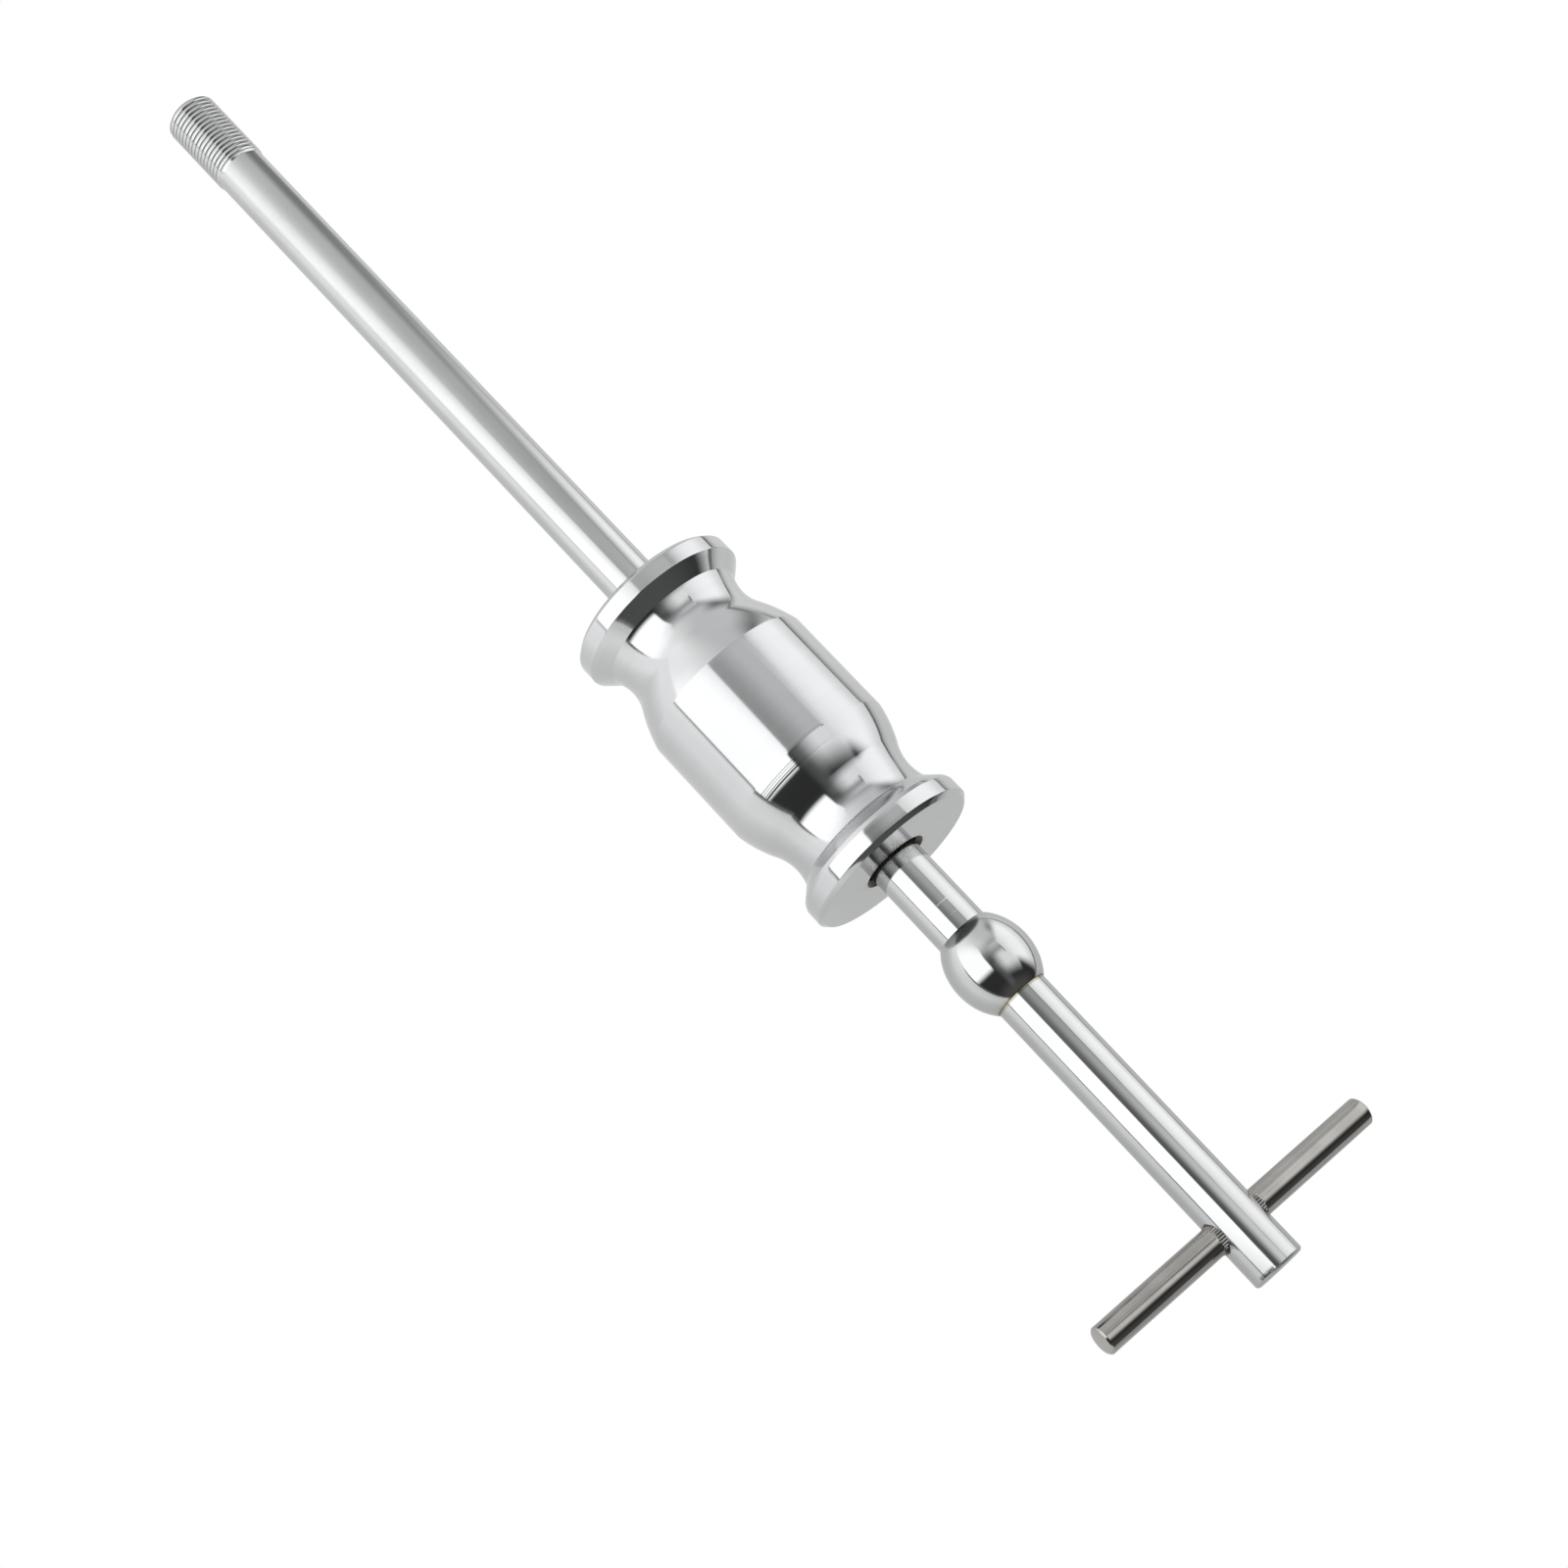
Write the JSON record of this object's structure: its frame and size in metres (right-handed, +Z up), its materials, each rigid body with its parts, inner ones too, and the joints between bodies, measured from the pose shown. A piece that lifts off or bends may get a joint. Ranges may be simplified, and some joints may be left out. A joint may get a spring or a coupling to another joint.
{
  "type": "slide hammer bearing puller",
  "caption": "Slide hammer for pulling bearings: a threaded steel shaft with a sliding grip weight, a ball stop and a cross bar.",
  "frame": {"origin": "centre of the threaded tip's end face", "axes": "+X along the shaft from the threaded tip to the cross bar end, cross bar along Y, +Z up as the tool lies on its weight"},
  "size_m": [0.454, 0.095, 0.0516],
  "materials": {
    "shaft_steel": "bright drawn and polished, satin towards the thread",
    "weight_steel": "fine turned and plated bright, with faint turning marks",
    "stop_steel": "turned and polished",
    "bar_steel": "ground, darker and slightly warm"
  },
  "bodies": {
    "rod": {"shaft": "shaft_steel", "ball_stop": "stop_steel", "tommy_bar": "bar_steel"},
    "weight": {"slide_weight": "weight_steel"}
  },
  "joints": [
    {"name": "weight_slide", "type": "slide", "parent": "rod", "child": "weight", "axis": [1, 0, 0], "range_m": [-0.1855, 0.0279]}
  ]
}
